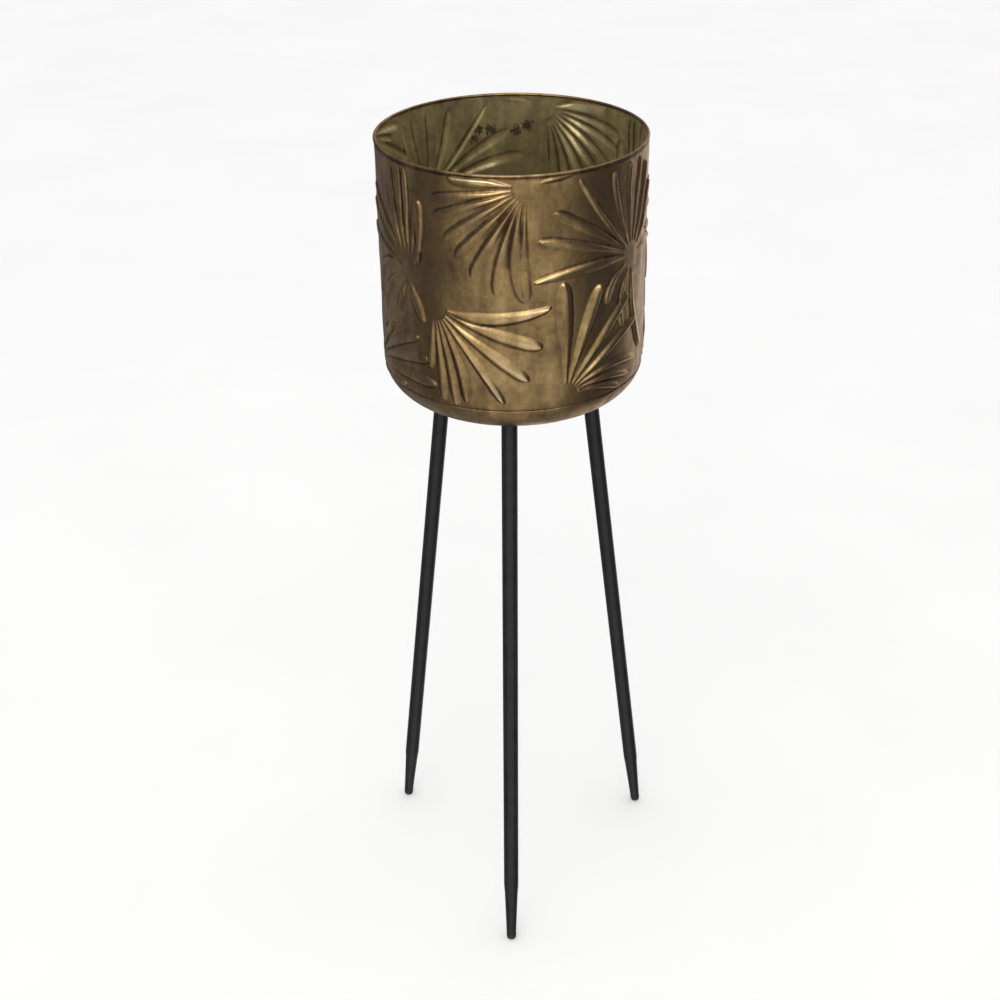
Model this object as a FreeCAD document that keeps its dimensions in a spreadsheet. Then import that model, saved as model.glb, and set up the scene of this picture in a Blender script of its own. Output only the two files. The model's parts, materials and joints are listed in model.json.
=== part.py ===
import FreeCAD, Part

import math
import os

import Sketcher
from FreeCAD import Placement, Rotation, Vector

# A brass planter pot on three splayed legs. The floor is Z = 0, the front leg points to -Y, and the
# origin is under the middle of the whole object's box. Lengths are millimetres, angles are degrees.

DIMENSIONS = [
    ("overall_height", 874, "floor to the top of the rim"),
    ("pot_height", 263, "underside of the pot to the top of the rim"),
    ("wall_radius", 130.7, "outer face of the side sheet"),
    ("sheet_thickness", 0.6, "side sheet and bottom pan"),
    ("wall_corner_radius", 41, "bend at the foot of the side sheet, outer face"),
    ("solder_gap", 0.05, "film of solder between the side sheet and the pan"),
    ("pan_lip_angle", 16.5, "start of the corner bend to the pan's lip"),
    ("lap_angle", 12, "overlap of the side sheet inside the pan's lip"),
    ("rim_bead_radius", 1.6, "outer radius of the rolled rim's section"),
    ("rim_inset", 0.8, "centre of the rolled rim, inwards from the wall's outer face"),
    ("curl_gap", 0.3, "end of the rolled rim to the wall's inner face"),
    ("wire_radius", 0.95, "wire inside the rolled rim"),
    ("wire_gap", 0.05, "wire to the rolled sheet around it"),
    ("leg_circle", 85.5, "circle through the leg axes at the underside of the pot"),
    ("leg_splay", 7.3, "leg axis from the vertical"),
    ("tube_radius", 8, "outer radius of a leg"),
    ("tube_wall", 1, "wall of a leg's tube"),
    ("taper_length", 70, "floor to the start of a leg's taper, along the leg"),
    ("foot_radius", 5.5, "end of the taper and round foot"),
    ("foot_collar", 1.5, "straight band above the round foot"),
    ("foot_stem_radius", 4.3, "stem of the foot inside the tube"),
    ("foot_stem_length", 14, "stem of the foot inside the tube"),
    ("seat_thickness", 2.5, "welded seat under the pot, on the leg's axis"),
    ("washer_thickness", 1.6, "washer between the seat and a leg"),
    ("washer_hole_radius", 4.2, "hole in the washer"),
    ("face_gap", 0.02, "clearance between stacked faces"),
    ("thread_radius", 4, "M8 thread, drawn as a plain bore and shaft"),
    ("thread_clearance", 0.05, "bore to stud, on the radius"),
    ("stud_engagement", 16, "stud inside the leg when it is screwed home"),
    ("stud_chamfer", 0.8, "bevel at the stud's tip"),
    ("insert_length", 20, "threaded plug in the top of a leg"),
    ("insert_countersink", 0.8, "bevel at the mouth of the plug's bore"),
    ("press_gap", 0.02, "plug to tube, on the radius"),
    ("scribe_allowance", 4, "length cut away where a piece is fitted to the pan"),
]

LEGS = {"front": 0, "right": 120, "left": -120}

# Lengths worked out from the sheet's cells, as expressions.
POT_BOTTOM = "(dims.overall_height - dims.pot_height)"
PAN_INNER_RADIUS = "(dims.wall_corner_radius + dims.solder_gap)"
PAN_OUTER_RADIUS = f"({PAN_INNER_RADIUS} + dims.sheet_thickness)"
CORNER_CENTRE = "(dims.wall_radius - dims.wall_corner_radius)"
CORNER_HEIGHT = f"({POT_BOTTOM} + {PAN_OUTER_RADIUS})"
LAP_END_ANGLE = "(dims.pan_lip_angle + dims.lap_angle)"
WALL_INNER = "(dims.wall_radius - dims.sheet_thickness)"
BEAD_CENTRE = "(dims.wall_radius - dims.rim_inset)"
BEAD_HEIGHT = "(dims.overall_height - dims.rim_bead_radius)"
BEAD_HOLLOW = "(dims.wire_radius + dims.wire_gap)"
PAN_ON_AXIS = f"({POT_BOTTOM} / cos(dims.leg_splay))"
SEAT_FACE = f"({PAN_ON_AXIS} - dims.seat_thickness)"
WASHER_TOP = f"({SEAT_FACE} - dims.face_gap)"
WASHER_BOTTOM = f"({WASHER_TOP} - dims.washer_thickness)"
LEG_TOP = f"({WASHER_BOTTOM} - dims.face_gap)"
SCRIBED_END = f"({PAN_ON_AXIS} + dims.scribe_allowance)"
STUD_RADIUS = "(dims.thread_radius - dims.thread_clearance)"
STUD_TIP = f"({LEG_TOP} - dims.stud_engagement)"
TUBE_BORE = "(dims.tube_radius - dims.tube_wall)"
FOOT_CENTRE = "(dims.foot_radius / cos(dims.leg_splay))"
TUBE_END = f"({FOOT_CENTRE} + dims.foot_collar)"

doc = FreeCAD.newDocument("brass_planter_pot")
dims = doc.addObject("Spreadsheet::Sheet", "dims")
for row, (alias, size, meaning) in enumerate(DIMENSIONS, start=1):
    dims.set(f"A{row}", meaning)
    dims.set(f"B{row}", str(size))
    dims.setAlias(f"B{row}", alias)
doc.recompute()


def value(expression):
    """The number that an expression of the sheet's cells stands for."""
    result = dims.evalExpression(expression)
    return float(getattr(result, "Value", result))


def straight(radius, height):
    """A corner whose next edge is a straight line."""
    return (radius, height, None)


def bent(radius, height, centre, bend_radius, clockwise=False):
    """A corner whose next edge is an arc about centre, a pair (radius, height)."""
    return (radius, height, (centre, bend_radius, clockwise))


def on_circle(centre, bend_radius, angle_below):
    """The point of a circle that lies angle_below the level of its centre, on the outer side."""
    return (
        f"({centre[0]} + {bend_radius} * cos({angle_below}))",
        f"({centre[1]} - {bend_radius} * sin({angle_below}))",
    )


def below_centre(centre, bend_radius, radius):
    """The height at which a circle's lower half crosses a vertical line at radius."""
    return f"({centre[1]} - sqrt({bend_radius}^2 - ({radius} - {centre[0]})^2))"


def outline_edge(start, end, bend):
    """A line or an arc between two points of a sketch."""
    if bend is None:
        return Part.LineSegment(start, end)
    centre, bend_radius, clockwise = bend
    middle = Vector(value(centre[0]), value(centre[1]), 0)
    first, last = (end, start) if clockwise else (start, end)
    angles = [math.atan2(point.y - middle.y, point.x - middle.x) for point in (first, last)]
    circle = Part.Circle(middle, Vector(0, 0, 1), value(bend_radius))
    return Part.ArcOfCircle(circle, *angles)


def bind(sketch, constraint, name, expression):
    """Add a constraint and tie its size to an expression of the sheet's cells."""
    index = sketch.addConstraint(constraint)
    sketch.renameConstraint(index, name)
    sketch.setExpression(f"Constraints.{name}", expression)


def draw_outline(sketch, corners):
    """Draw a closed outline through corners, each held by constraints bound to its expressions."""
    points = [Vector(value(radius), value(height), 0) for radius, height, _ in corners]
    start_of, end_of, vertical_axis, origin = [], [], -2, -1
    for index, (_, _, bend) in enumerate(corners):
        end = points[(index + 1) % len(points)]
        sketch.addGeometry(outline_edge(points[index], end, bend), False)
        runs_backwards = bend is not None and bend[2]
        start_of.append(2 if runs_backwards else 1)
        end_of.append(1 if runs_backwards else 2)
    for index, (radius, height, bend) in enumerate(corners):
        before = index - 1 if index else len(corners) - 1
        join = Sketcher.Constraint("Coincident", before, end_of[before], index, start_of[index])
        sketch.addConstraint(join)
        here = (origin, 1, index, start_of[index])
        if radius == "0":
            on_axis = Sketcher.Constraint("PointOnObject", index, start_of[index], vertical_axis)
            sketch.addConstraint(on_axis)
        else:
            across = Sketcher.Constraint("DistanceX", *here, points[index].x)
            bind(sketch, across, f"radius_{index}", radius)
        up = Sketcher.Constraint("DistanceY", *here, points[index].y)
        bind(sketch, up, f"height_{index}", height)
        if bend is not None:
            round_edge = Sketcher.Constraint("Radius", index, value(bend[1]))
            bind(sketch, round_edge, f"bend_{index}", bend[1])


def turned(label, corners, placement):
    """A body made by turning a closed outline about the body's Z axis."""
    body = doc.addObject("PartDesign::Body", label)
    body.Label = label
    sketch = body.newObject("Sketcher::SketchObject", f"{label}_outline")
    planes = {plane.Role: plane for plane in body.Origin.OriginFeatures}
    sketch.AttachmentSupport = [(planes["XZ_Plane"], "")]
    sketch.MapMode = "FlatFace"
    draw_outline(sketch, corners)
    turn = body.newObject("PartDesign::Revolution", f"{label}_turn")
    turn.Profile = sketch
    turn.ReferenceAxis = (sketch, ["V_Axis"])
    turn.Angle = 360
    body.Tip = turn
    body.Placement = placement
    return body


def cut(label, base, tool):
    """What is left of base when tool is taken away."""
    result = doc.addObject("Part::Cut", label)
    result.Label = label
    result.Base = base
    result.Tool = tool
    return result


def pot_wall(placement):
    """Side sheet, rolled outwards over a wire at the rim and bent inwards at its foot."""
    corner = (CORNER_CENTRE, CORNER_HEIGHT)
    inner_bend = "(dims.wall_corner_radius - dims.sheet_thickness)"
    bead = (BEAD_CENTRE, BEAD_HEIGHT)
    curl_end = f"({WALL_INNER} - dims.curl_gap)"
    outline = [
        bent(*on_circle(corner, "dims.wall_corner_radius", LAP_END_ANGLE), corner, "dims.wall_corner_radius"),
        straight("dims.wall_radius", CORNER_HEIGHT),
        bent(
            "dims.wall_radius",
            below_centre(bead, "dims.rim_bead_radius", "dims.wall_radius"),
            bead,
            "dims.rim_bead_radius",
        ),
        straight(curl_end, below_centre(bead, "dims.rim_bead_radius", curl_end)),
        bent(curl_end, below_centre(bead, BEAD_HOLLOW, curl_end), bead, BEAD_HOLLOW, clockwise=True),
        straight(WALL_INNER, below_centre(bead, BEAD_HOLLOW, WALL_INNER)),
        bent(WALL_INNER, CORNER_HEIGHT, corner, inner_bend, clockwise=True),
        straight(*on_circle(corner, inner_bend, LAP_END_ANGLE)),
    ]
    return turned("pot_wall", outline, placement)


def rim_wire(placement):
    """Stiffening wire, a ring inside the rolled rim."""
    ring = doc.addObject("Part::Torus", "rim_wire")
    ring.Label = "rim_wire"
    ring.setExpression("Radius1", BEAD_CENTRE)
    ring.setExpression("Radius2", "dims.wire_radius")
    ring.Placement = placement * Placement(Vector(0, 0, value(BEAD_HEIGHT)), Rotation())
    return ring


def bottom_pan(placement):
    """Pressed dish that laps over the foot of the side sheet."""
    corner = (CORNER_CENTRE, CORNER_HEIGHT)
    floor = f"({POT_BOTTOM} + dims.sheet_thickness)"
    outline = [
        straight("0", POT_BOTTOM),
        bent(CORNER_CENTRE, POT_BOTTOM, corner, PAN_OUTER_RADIUS),
        straight(*on_circle(corner, PAN_OUTER_RADIUS, "dims.pan_lip_angle")),
        bent(*on_circle(corner, PAN_INNER_RADIUS, "dims.pan_lip_angle"), corner, PAN_INNER_RADIUS, True),
        straight(CORNER_CENTRE, floor),
        straight("0", floor),
    ]
    return turned("bottom_pan", outline, placement)


def pan_envelope(placement):
    """The pan as a solid block up to the level where its corner ends, to fit other pieces against."""
    corner = (CORNER_CENTRE, CORNER_HEIGHT)
    outline = [
        straight("0", POT_BOTTOM),
        bent(CORNER_CENTRE, POT_BOTTOM, corner, PAN_OUTER_RADIUS),
        straight(f"({CORNER_CENTRE} + {PAN_OUTER_RADIUS})", CORNER_HEIGHT),
        straight("0", CORNER_HEIGHT),
    ]
    return turned("pan_envelope", outline, placement)


def leg_seat(side, placement, envelope):
    """Wedge-shaped pad, fitted to the pan and welded to it, square to the leg."""
    outline = [
        straight("dims.thread_radius", SEAT_FACE),
        straight("dims.tube_radius", SEAT_FACE),
        straight("dims.tube_radius", SCRIBED_END),
        straight("dims.thread_radius", SCRIBED_END),
    ]
    blank = turned(f"{side}_leg_seat_blank", outline, placement)
    return cut(f"{side}_leg_seat", blank, envelope)


def leg_stud(side, placement, envelope):
    """Threaded stud, welded to the pan through the seat."""
    outline = [
        straight("0", STUD_TIP),
        straight(f"({STUD_RADIUS} - dims.stud_chamfer)", STUD_TIP),
        straight(STUD_RADIUS, f"({STUD_TIP} + dims.stud_chamfer)"),
        straight(STUD_RADIUS, SCRIBED_END),
        straight("0", SCRIBED_END),
    ]
    blank = turned(f"{side}_leg_stud_blank", outline, placement)
    return cut(f"{side}_leg_stud", blank, envelope)


def leg_washer(side, placement):
    """Plain washer between the seat and the top of the leg."""
    outline = [
        straight("dims.washer_hole_radius", WASHER_BOTTOM),
        straight("dims.tube_radius", WASHER_BOTTOM),
        straight("dims.tube_radius", WASHER_TOP),
        straight("dims.washer_hole_radius", WASHER_TOP),
    ]
    return turned(f"{side}_leg_washer", outline, placement)


def leg_insert(side, placement):
    """Threaded plug pressed into the top of the leg's tube, level with its end."""
    outer = f"({TUBE_BORE} - dims.press_gap)"
    plug_end = f"({LEG_TOP} - dims.insert_length)"
    outline = [
        straight("dims.thread_radius", plug_end),
        straight(outer, plug_end),
        straight(outer, LEG_TOP),
        straight("(dims.thread_radius + dims.insert_countersink)", LEG_TOP),
        straight("dims.thread_radius", f"({LEG_TOP} - dims.insert_countersink)"),
    ]
    return turned(f"{side}_leg_insert", outline, placement)


def leg_tube(side, placement):
    """Round tube, drawn down to a narrow end above the floor."""
    outline = [
        straight("dims.foot_radius", TUBE_END),
        straight("dims.tube_radius", "dims.taper_length"),
        straight("dims.tube_radius", LEG_TOP),
        straight(TUBE_BORE, LEG_TOP),
        straight(TUBE_BORE, "dims.taper_length"),
        straight("(dims.foot_radius - dims.tube_wall)", TUBE_END),
    ]
    return turned(f"{side}_leg_tube", outline, placement)


def foot_cap(side, placement):
    """Round foot whose stem plugs the narrow end of the tube. Its lowest point is on the floor."""
    stem_end = f"({TUBE_END} + dims.foot_stem_length)"
    outline = [
        bent("0", f"({FOOT_CENTRE} - dims.foot_radius)", ("0", FOOT_CENTRE), "dims.foot_radius"),
        straight("dims.foot_radius", FOOT_CENTRE),
        straight("dims.foot_radius", TUBE_END),
        straight("dims.foot_stem_radius", TUBE_END),
        straight("dims.foot_stem_radius", stem_end),
        straight("0", stem_end),
    ]
    return turned(f"{side}_foot_cap", outline, placement)


def foot_circle():
    """Radius of the circle where the leg axes meet the floor."""
    return value(f"dims.leg_circle + {POT_BOTTOM} * tan(dims.leg_splay)")


def pot_placement():
    """The pot's axis, set back so that the whole object's box is centred on the origin."""
    foot_reach = foot_circle() + value("dims.foot_radius * (1 - tan(dims.leg_splay))")
    rim_reach = value(f"{BEAD_CENTRE} + dims.rim_bead_radius")
    return Placement(Vector(0, (foot_reach - rim_reach) / 2, 0), Rotation())


def leg_placement(pot, azimuth):
    """A leg's own frame: origin where its axis meets the floor, Z up along the leg."""
    around = Placement(Vector(), Rotation(Vector(0, 0, 1), azimuth))
    tilt = Rotation(Vector(1, 0, 0), -value("dims.leg_splay"))
    return pot * around * Placement(Vector(0, -foot_circle(), 0), tilt)


def build():
    """Make every sub-part and return them."""
    pot = pot_placement()
    envelope = pan_envelope(pot)
    parts = [pot_wall(pot), rim_wire(pot), bottom_pan(pot)]
    for side, azimuth in LEGS.items():
        leg = leg_placement(pot, azimuth)
        parts += [leg_seat(side, leg, envelope), leg_stud(side, leg, envelope)]
        parts += [make(side, leg) for make in (leg_washer, leg_insert, leg_tube, foot_cap)]
    return parts


def check(parts):
    """Stop unless everything was computed and every sub-part is one sound solid."""
    doc.recompute()
    for item in doc.Objects:
        if "Invalid" in item.State or "Error" in item.State:
            raise RuntimeError(f"{item.Label} failed: {item.State}")
    for part in parts:
        shape = part.Shape
        if shape.isNull() or not shape.isValid() or len(shape.Solids) != 1:
            raise RuntimeError(f"{part.Label} is not one sound solid")


def write(parts):
    """Write each sub-part to its own file, named by its label."""
    os.makedirs("parts", exist_ok=True)
    for part in parts:
        part.Shape.exportStep(os.path.join("parts", f"{part.Label}.step"))
        print(f"{part.Label}: {part.Shape.Volume:.0f} mm3")


sub_parts = build()
check(sub_parts)
write(sub_parts)
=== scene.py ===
"""The looks of the footed brass planter pot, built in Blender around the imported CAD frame.

Lengths are in metres; MM turns a size in millimetres into metres. Angles are in degrees. The pot stands
on the Z axis through POT_CENTRE, with azimuth 0 towards -Y and 90 towards +X.
"""

import json
import math
from collections import namedtuple

import bmesh
import bpy
import numpy as np
from mathutils import Matrix, Vector


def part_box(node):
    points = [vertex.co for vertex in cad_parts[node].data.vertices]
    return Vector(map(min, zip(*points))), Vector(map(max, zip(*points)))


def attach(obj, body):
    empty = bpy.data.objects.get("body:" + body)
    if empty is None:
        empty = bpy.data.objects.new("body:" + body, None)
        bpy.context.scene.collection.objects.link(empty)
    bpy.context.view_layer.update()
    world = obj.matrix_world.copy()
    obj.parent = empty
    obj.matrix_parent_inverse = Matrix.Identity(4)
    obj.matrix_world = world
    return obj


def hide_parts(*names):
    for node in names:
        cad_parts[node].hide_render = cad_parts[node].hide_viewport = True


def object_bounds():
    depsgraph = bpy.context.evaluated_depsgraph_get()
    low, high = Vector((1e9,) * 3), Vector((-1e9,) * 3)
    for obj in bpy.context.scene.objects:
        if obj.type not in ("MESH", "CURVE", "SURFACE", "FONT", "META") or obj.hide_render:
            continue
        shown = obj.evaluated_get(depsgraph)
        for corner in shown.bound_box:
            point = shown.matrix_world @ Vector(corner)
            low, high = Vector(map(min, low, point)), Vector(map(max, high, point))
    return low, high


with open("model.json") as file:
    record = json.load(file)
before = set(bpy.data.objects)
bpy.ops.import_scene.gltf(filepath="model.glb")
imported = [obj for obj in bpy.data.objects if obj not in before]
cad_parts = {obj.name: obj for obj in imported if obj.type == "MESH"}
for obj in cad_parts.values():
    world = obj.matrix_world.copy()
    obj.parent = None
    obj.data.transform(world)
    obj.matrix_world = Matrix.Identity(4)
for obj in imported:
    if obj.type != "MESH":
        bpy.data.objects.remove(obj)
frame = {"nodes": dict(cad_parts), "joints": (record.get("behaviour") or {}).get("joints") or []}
cad_low, cad_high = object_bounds()

MM = 0.001
SIDES = ("front", "right", "left")

# ---------------------------------------------------------------- sizes

SHEET = 0.6 * MM
SOLDER_GAP = 0.05 * MM
CORNER_RADIUS = 41 * MM
LAP_END_ANGLE = -28.5
LIP_END_ANGLE = -16.5
BEAD_RADIUS = 1.6 * MM
RIM_INSET = 0.8 * MM
CURL_GAP = 0.3 * MM

wall_low, wall_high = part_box("pot_wall")
pan_low, pan_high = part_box("bottom_pan")
POT_CENTRE = (wall_low + wall_high) / 2
RIM_RADIUS = (wall_high.x - wall_low.x) / 2
WALL_RADIUS = RIM_RADIUS - BEAD_RADIUS + RIM_INSET
BEAD_CENTRE_RADIUS = RIM_RADIUS - BEAD_RADIUS
BEAD_CENTRE_HEIGHT = wall_high.z - BEAD_RADIUS
CORNER_CENTRE_RADIUS = WALL_RADIUS - CORNER_RADIUS
PAN_CORNER_RADIUS = CORNER_RADIUS + SOLDER_GAP + SHEET
CORNER_CENTRE_HEIGHT = pan_low.z + PAN_CORNER_RADIUS


# ---------------------------------------------------------------- mesh helpers


# Points closer together than this are one point.
MERGE_DISTANCE = 1e-7


def arc(centre, radius, start, end, step):
    """Points of an arc in the (radius, height) plane, from one angle to another, one end point left out."""
    count = max(2, round(math.radians(abs(end - start)) * radius / step))
    angles = np.radians(start + (end - start) * np.arange(count) / count)
    return np.stack([centre[0] + radius * np.cos(angles), centre[1] + radius * np.sin(angles)], 1)


def run(start, end, step):
    """Points of a straight run in the (radius, height) plane, its end point left out."""
    start, end = np.array(start, float), np.array(end, float)
    count = max(1, round(np.linalg.norm(end - start) / step))
    return start + (end - start) * (np.arange(count) / count)[:, None]


def rounded(corners, steps=6):
    """An outline through (radius, height, rounding) corners, each one cut by a smooth curve that long."""
    points = []
    for index, (x, y, rounding) in enumerate(corners):
        here = np.array((x, y))
        if not rounding:
            points.append(here)
            continue
        before = np.array(corners[index - 1][:2]) - here
        after = np.array(corners[(index + 1) % len(corners)][:2]) - here
        first = here + before / np.linalg.norm(before) * rounding
        last = here + after / np.linalg.norm(after) * rounding
        for t in np.linspace(0, 1, steps):
            points.append(first * (1 - t) ** 2 + here * 2 * t * (1 - t) + last * t**2)
    return np.array(points)


def grid_object(name, points, closed_rows, closed_columns):
    """A smooth mesh from an array of points (rows, columns, 3), each joined to its neighbours."""
    index = np.arange(points.shape[0] * points.shape[1], dtype=np.int32).reshape(points.shape[:2])
    if closed_rows:
        index = np.vstack([index, index[:1]])
    if closed_columns:
        index = np.hstack([index, index[:, :1]])
    quads = np.stack([index[:-1, :-1], index[:-1, 1:], index[1:, 1:], index[1:, :-1]], -1).reshape(-1, 4)
    mesh = bpy.data.meshes.new(name)
    mesh.vertices.add(points.shape[0] * points.shape[1])
    mesh.vertices.foreach_set("co", points.astype(np.float32).ravel())
    mesh.loops.add(quads.size)
    mesh.loops.foreach_set("vertex_index", quads.ravel())
    mesh.polygons.add(len(quads))
    mesh.polygons.foreach_set("loop_start", np.arange(0, quads.size, 4, dtype=np.int32))
    mesh.update(calc_edges=True)
    mesh.shade_smooth()
    piece = bpy.data.objects.new(name, mesh)
    bpy.context.scene.collection.objects.link(piece)
    return piece


def clean(piece, sharp_above=40):
    """Joins the points that meet on the axis, turns the faces outwards and keeps sharp corners sharp."""
    work = bmesh.new()
    work.from_mesh(piece.data)
    bmesh.ops.remove_doubles(work, verts=work.verts, dist=MERGE_DISTANCE)
    bmesh.ops.recalc_face_normals(work, faces=work.faces)
    work.to_mesh(piece.data)
    work.free()
    piece.data.set_sharp_from_angle(angle=math.radians(sharp_above))
    return piece


def turned(name, outline, place, columns=64, closed=False, pitch=None):
    """A piece turned round the Z axis of place. outline has rows of (radius, height), and where it is
    threaded a third value, the depth of the thread, which is cut towards the axis if it is positive."""
    outline = np.array(outline, float)
    angles = 2 * np.pi * np.arange(columns) / columns
    radius = np.repeat(outline[:, :1], columns, 1)
    height = np.repeat(outline[:, 1:2], columns, 1)
    if pitch:
        turn = (height / pitch - angles / (2 * np.pi)) % 1
        radius = radius - outline[:, 2:3] * np.abs(2 * turn - 1)
    points = np.stack([radius * np.cos(angles), radius * np.sin(angles), height], -1)
    piece = grid_object(name, points, closed, True)
    piece.data.transform(place)
    return clean(piece)


def attribute(piece, name, values):
    """Stores one number for each point of a piece, for its material to read."""
    layer = piece.data.attributes.new(name, "FLOAT", "POINT")
    layer.data.foreach_set("value", np.asarray(values, np.float32).ravel())


def smooth_step(value, low, high):
    """0 where value is at low and 1 where it is at high, with a smooth step between."""
    t = np.clip((value - low) / (high - low), 0, 1)
    return t * t * (3 - 2 * t)


# ---------------------------------------------------------------- palm leaves

# A frond leaves its leaf's hub in a direction, bends by turn on its way, and is length by width in mm.
# Angles are anticlockwise seen from outside the pot, with 0 to the right. rise is its share of the height,
# and widest is how far along it is widest: the smaller it is, the more pointed the tip.
Frond = namedtuple("Frond", "direction turn length width rise widest", defaults=(1.0, 0.84))
# A leaf's fronds start hub mm from its middle and stand height mm proud of the sheet, which rises or sinks
# towards their tips to the share at_tip of that.
Leaf = namedtuple("Leaf", "hub height at_tip fronds")

HANGING_LEAF = Leaf(14, 3.0, 0.3, (
    Frond(188, 2, 78, 7),
    Frond(198.5, 1, 80, 7),
    Frond(210, 8, 80, 7.5),
    Frond(224, 2, 79, 8),
    Frond(236, 6, 84, 8.5),
    Frond(246, 20, 92, 9, 0.8),
    Frond(255, 34, 96, 12.5, 0.7),
    Frond(267, 7, 92, 7, 0.5),
))
RIM_FRONDS = Leaf(14, 3.0, 1.0, (
    Frond(170, 8, 58, 12.5, 1.35),
    Frond(20, -8, 34, 8, 0.8),
))
SIDE_LEAF = Leaf(15, 2.5, 1.3, (
    Frond(-10, 28, 100, 10.5, 1.1, 0.45),
    Frond(-19, 2, 96, 11.5, 1.05),
    Frond(-34.5, -4, 100, 10.5, 1.05),
    Frond(-47.5, -12, 100, 7.5, 1.1),
    Frond(-59, -26, 86, 7.5, 0.8),
    Frond(-71, -14, 86, 7.5, 0.8),
    Frond(-82, -6, 80, 7, 0.7),
    Frond(-93, -3, 50, 6.5, 0.7),
))
SPRAY_LEAF = Leaf(14, 2.2, 1.3, (
    Frond(84, -8, 78, 6.5, 0.7),
    Frond(101, -18, 78, 6.5, 0.7),
    Frond(119, -22, 80, 6.5, 0.7),
    Frond(136, -17, 100, 4.5, 0.75, 0.5),
    Frond(144, 8, 100, 8.5, 0.55),
    Frond(156, 14, 102, 8.5),
    Frond(172.5, 21.5, 102, 9, 1, 0.45),
    Frond(205, 50, 42, 8, 0.7),
    Frond(240, 44, 58, 8, 0.8),
    Frond(271, 29, 92, 11),
    Frond(66, 10, 74, 7),
    Frond(42, 30, 62, 8),
    Frond(10, -20, 40, 7, 0.8),
))
STANDING_LEAF = Leaf(13, 2.5, 1.3, (
    Frond(91, 2, 100, 14, 0.75),
    Frond(74.5, -8, 97, 11.5),
    Frond(56, -20, 101, 9),
    Frond(41, -22, 92, 8, 1.05),
    Frond(28.5, -48, 82, 7.5, 0.9),
    Frond(15, -37, 68, 6, 0.9),
    Frond(4, -29, 53, 6, 0.9),
))
UPRIGHT_FROND = Leaf(0, 2.1, 1.0, (
    Frond(84, 8, 61, 10),
))
EDGE_LEAF = Leaf(12, 1.9, 0.7, (
    Frond(42, 60, 16, 5),
    Frond(75, 10, 60, 6, 0.8),
    Frond(89, 4, 86, 6.5),
    Frond(102, -14, 88, 6.5),
    Frond(117, -28, 90, 7),
    Frond(133.5, 13, 86, 8),
    Frond(151, 2, 84, 8.5),
    Frond(167, 4, 82, 8.5),
    Frond(172, 100, 78, 9),
    Frond(209, 58, 90, 11),
    Frond(250, -3, 40, 7),
    Frond(288.5, 10, 39, 10, 1.2, 0.6),
))
LOW_LEAF = Leaf(12, 2.0, 1.0, (
    Frond(56, -16, 60, 8),
    Frond(41, -22, 95, 8),
    Frond(29, -24, 98, 9),
    Frond(13, -17, 100, 9.5),
    Frond(-16, 38, 58, 8, 1.1),
))
HALF_LEAF = Leaf(12, 2.6, 1.0, (
    Frond(184.5, 2, 66, 7, 1.2),
    Frond(194, 3, 54, 6),
    Frond(199, 18, 100, 6),
))
# The roller's pattern repeats round the sheet: each leaf's azimuth, and how far its hub is below the rim.
LEAF_PLACES = (
    (HANGING_LEAF, 8.7, 13),
    (RIM_FRONDS, 8.7, 13),
    (SIDE_LEAF, -31.4, 132),
    (SPRAY_LEAF, 62, 99),
    (STANDING_LEAF, 25.5, 219),
    (EDGE_LEAF, -45, 104),
    (UPRIGHT_FROND, -38.8, 94),
    (LOW_LEAF, -80, 224),
    (HANGING_LEAF, 168, 14),
    (RIM_FRONDS, 168, 14),
    (SIDE_LEAF, 132, 132),
    (SPRAY_LEAF, 225.5, 100),
    (STANDING_LEAF, 189, 219),
    (EDGE_LEAF, 118.5, 104),
    (UPRIGHT_FROND, 124.7, 94),
    (LOW_LEAF, 83.5, 224),
    (HANGING_LEAF, 262, 112),
    (HALF_LEAF, 276, 6),
)
FROND_STEPS = 32
FROND_BASE_WIDTH = 2.4
FROND_FULLNESS = 1.22
# Where a frond starts to widen, and where it stops, as a share of the way to where it is widest.
WIDENING_START = -0.05
WIDENING_END = 0.82
# Just under 1, so that a frond never narrows quite to nothing.
TIP_ROUNDING = 0.999
# A frond's share of its height at the hub, and how far along it has it all.
HUB_SHARE = 0.5
RISEN = 0.3
DOME_SHARPNESS = 1.15
# The ridge of a frond lies to the right of its middle, and its left edge is softer than its right one.
RIDGE_SHIFT = 0.3
# LEFT_EDGE also makes the painted shade along a frond's left edge fainter than along its right one.
LEFT_EDGE = 0.5
GROOVE_DEPTH = 0.35
GROOVE_REACH = 1.8
# A frond at least twice this wide has a full groove along its edge.
FULL_GROOVE_WIDTH = 3
# What one edge's groove doesn't show of itself: the creases are deep, and dark with patina and painted
# shade, where two edges meet.
SINGLE_EDGE = 0.3
SHEET_LENGTH = 2 * math.pi * WALL_RADIUS / MM
# The rim's height to the nearest mm, because the frame's mesh of it is a few thousandths too low.
RIM_LEVEL = round(wall_high.z / MM)


def on_sheet(azimuth, below_rim):
    """A place on the side sheet, as x round it and z up it, in mm."""
    return math.radians(azimuth) * WALL_RADIUS / MM, RIM_LEVEL - below_rim


def frond_line(frond, leaf, leaf_x, leaf_z):
    """The line along the middle of a frond, as x round the sheet and z up it, in mm."""
    heading = np.radians(frond.direction + frond.turn * (np.arange(FROND_STEPS) + 0.5) / FROND_STEPS)
    step = frond.length / FROND_STEPS
    start = math.radians(frond.direction)
    x = leaf_x + leaf.hub * math.cos(start) + np.concatenate([[0], np.cumsum(np.cos(heading)) * step])
    z = leaf_z + leaf.hub * math.sin(start) + np.concatenate([[0], np.cumsum(np.sin(heading)) * step])
    return x, z


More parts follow.
